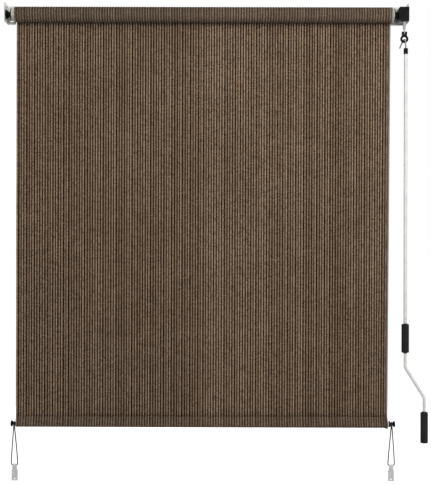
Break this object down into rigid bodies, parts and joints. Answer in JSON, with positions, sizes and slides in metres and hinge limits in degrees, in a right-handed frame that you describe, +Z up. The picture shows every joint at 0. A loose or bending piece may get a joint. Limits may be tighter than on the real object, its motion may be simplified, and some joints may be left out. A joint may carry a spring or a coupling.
{
  "type": "outdoor roller shade",
  "caption": "Wall-mounted outdoor roller shade: ribbed cloth on a geared roller, hand crank on an eye, weighted hem with elastic loops and wall hooks.",
  "frame": {"origin": "centre of the rectangle of the four wall slots, on the wall's surface", "axes": "+X to the right as seen by a person facing the wall, +Y into the wall, +Z up"},
  "size_m": [1.4663, 0.0801, 1.6672],
  "materials": {
    "galvanised_sheet": "galvanised, dull spangle",
    "black_moulding": "moulded black, satin",
    "zinc_screw": "zinc plated",
    "bush_plastic": "moulded, smooth",
    "turned_steel": "turned",
    "roller_steel": "zinc coated, smooth",
    "gear_plastic": "moulded, natural",
    "bright_zinc": "bright zinc plated",
    "crank_paint": "light grey, satin",
    "grip_black": "moulded black, fine grain",
    "shade_cloth": "knitted mesh, vertical ribs",
    "elastic_cord": "braided elastic"
  },
  "bodies": {
    "wall_frame": {"left_bracket": "galvanised_sheet", "right_bracket": "galvanised_sheet", "idler_bush": "black_moulding", "bush_screws": "zinc_screw", "gear_housing": "black_moulding", "gear_cover": "black_moulding", "housing_screws": "zinc_screw", "cover_screws": "zinc_screw", "worm_bush": "bush_plastic", "wheel_washer": "turned_steel", "cloth_panel": "shade_cloth"},
    "roller": {"roller_tube": "roller_steel", "idler_plug": "black_moulding", "idler_pin": "turned_steel", "drive_plug": "black_moulding", "worm_wheel": "gear_plastic", "cloth_roll": "shade_cloth"},
    "worm_drive": {"worm_shaft": "turned_steel", "drive_yoke": "bright_zinc", "yoke_pin": "turned_steel"},
    "crank": {"crank_eye": "black_moulding", "eye_pin": "turned_steel", "crank_hook": "bright_zinc", "crank_ferrule": "black_moulding", "ferrule_pin": "turned_steel", "crank_tube": "crank_paint", "crank_rod": "crank_paint", "grip_collars": "black_moulding", "handle_cap": "black_moulding"},
    "upper_hand_grip": {"upper_grip": "grip_black"},
    "lower_hand_grip": {"lower_grip": "grip_black"},
    "rail": {"cloth_hem": "shade_cloth", "bottom_bar": "roller_steel", "left_spool": "black_moulding", "right_spool": "black_moulding", "left_elastic": "elastic_cord", "right_elastic": "elastic_cord", "left_wall_hook": "galvanised_sheet", "right_wall_hook": "galvanised_sheet"}
  },
  "joints": [
    {"name": "roller_turn", "type": "hinge", "parent": "wall_frame", "child": "roller", "pos_m": [0, -0.04, -0.0054], "axis": [1, 0, 0], "range_deg": [0, 2880]},
    {"name": "rail_lift", "type": "slide", "parent": "wall_frame", "child": "rail", "axis": [0, 0, 1], "range_m": [0, 1.3572], "deforming": ["cloth_panel"]},
    {"name": "crank_turn", "type": "hinge", "parent": "wall_frame", "child": "worm_drive", "pos_m": [0.6835, -0.06, -0.0054], "axis": [0, 0, 1], "range_deg": [0, 11520]},
    {"name": "eye_swing", "type": "hinge", "parent": "worm_drive", "child": "crank", "pos_m": [0.6835, -0.06, -0.0723], "axis": [1, 0, 0], "range_deg": [-75, 75]},
    {"name": "upper_grip_spin", "type": "hinge", "parent": "crank", "child": "upper_hand_grip", "pos_m": [0.6873, -0.0669, -1.12605], "axis": [0, 0, 1], "continuous": true},
    {"name": "lower_grip_spin", "type": "hinge", "parent": "crank", "child": "lower_hand_grip", "pos_m": [0.7533, -0.0669, -1.43225], "axis": [0, 0, 1], "continuous": true}
  ],
  "couplings": [
    {"joint": "rail_lift", "follows": "roller_turn", "m_per_rad": 0.027},
    {"joint": "crank_turn", "follows": "roller_turn", "ratio": 4}
  ]
}
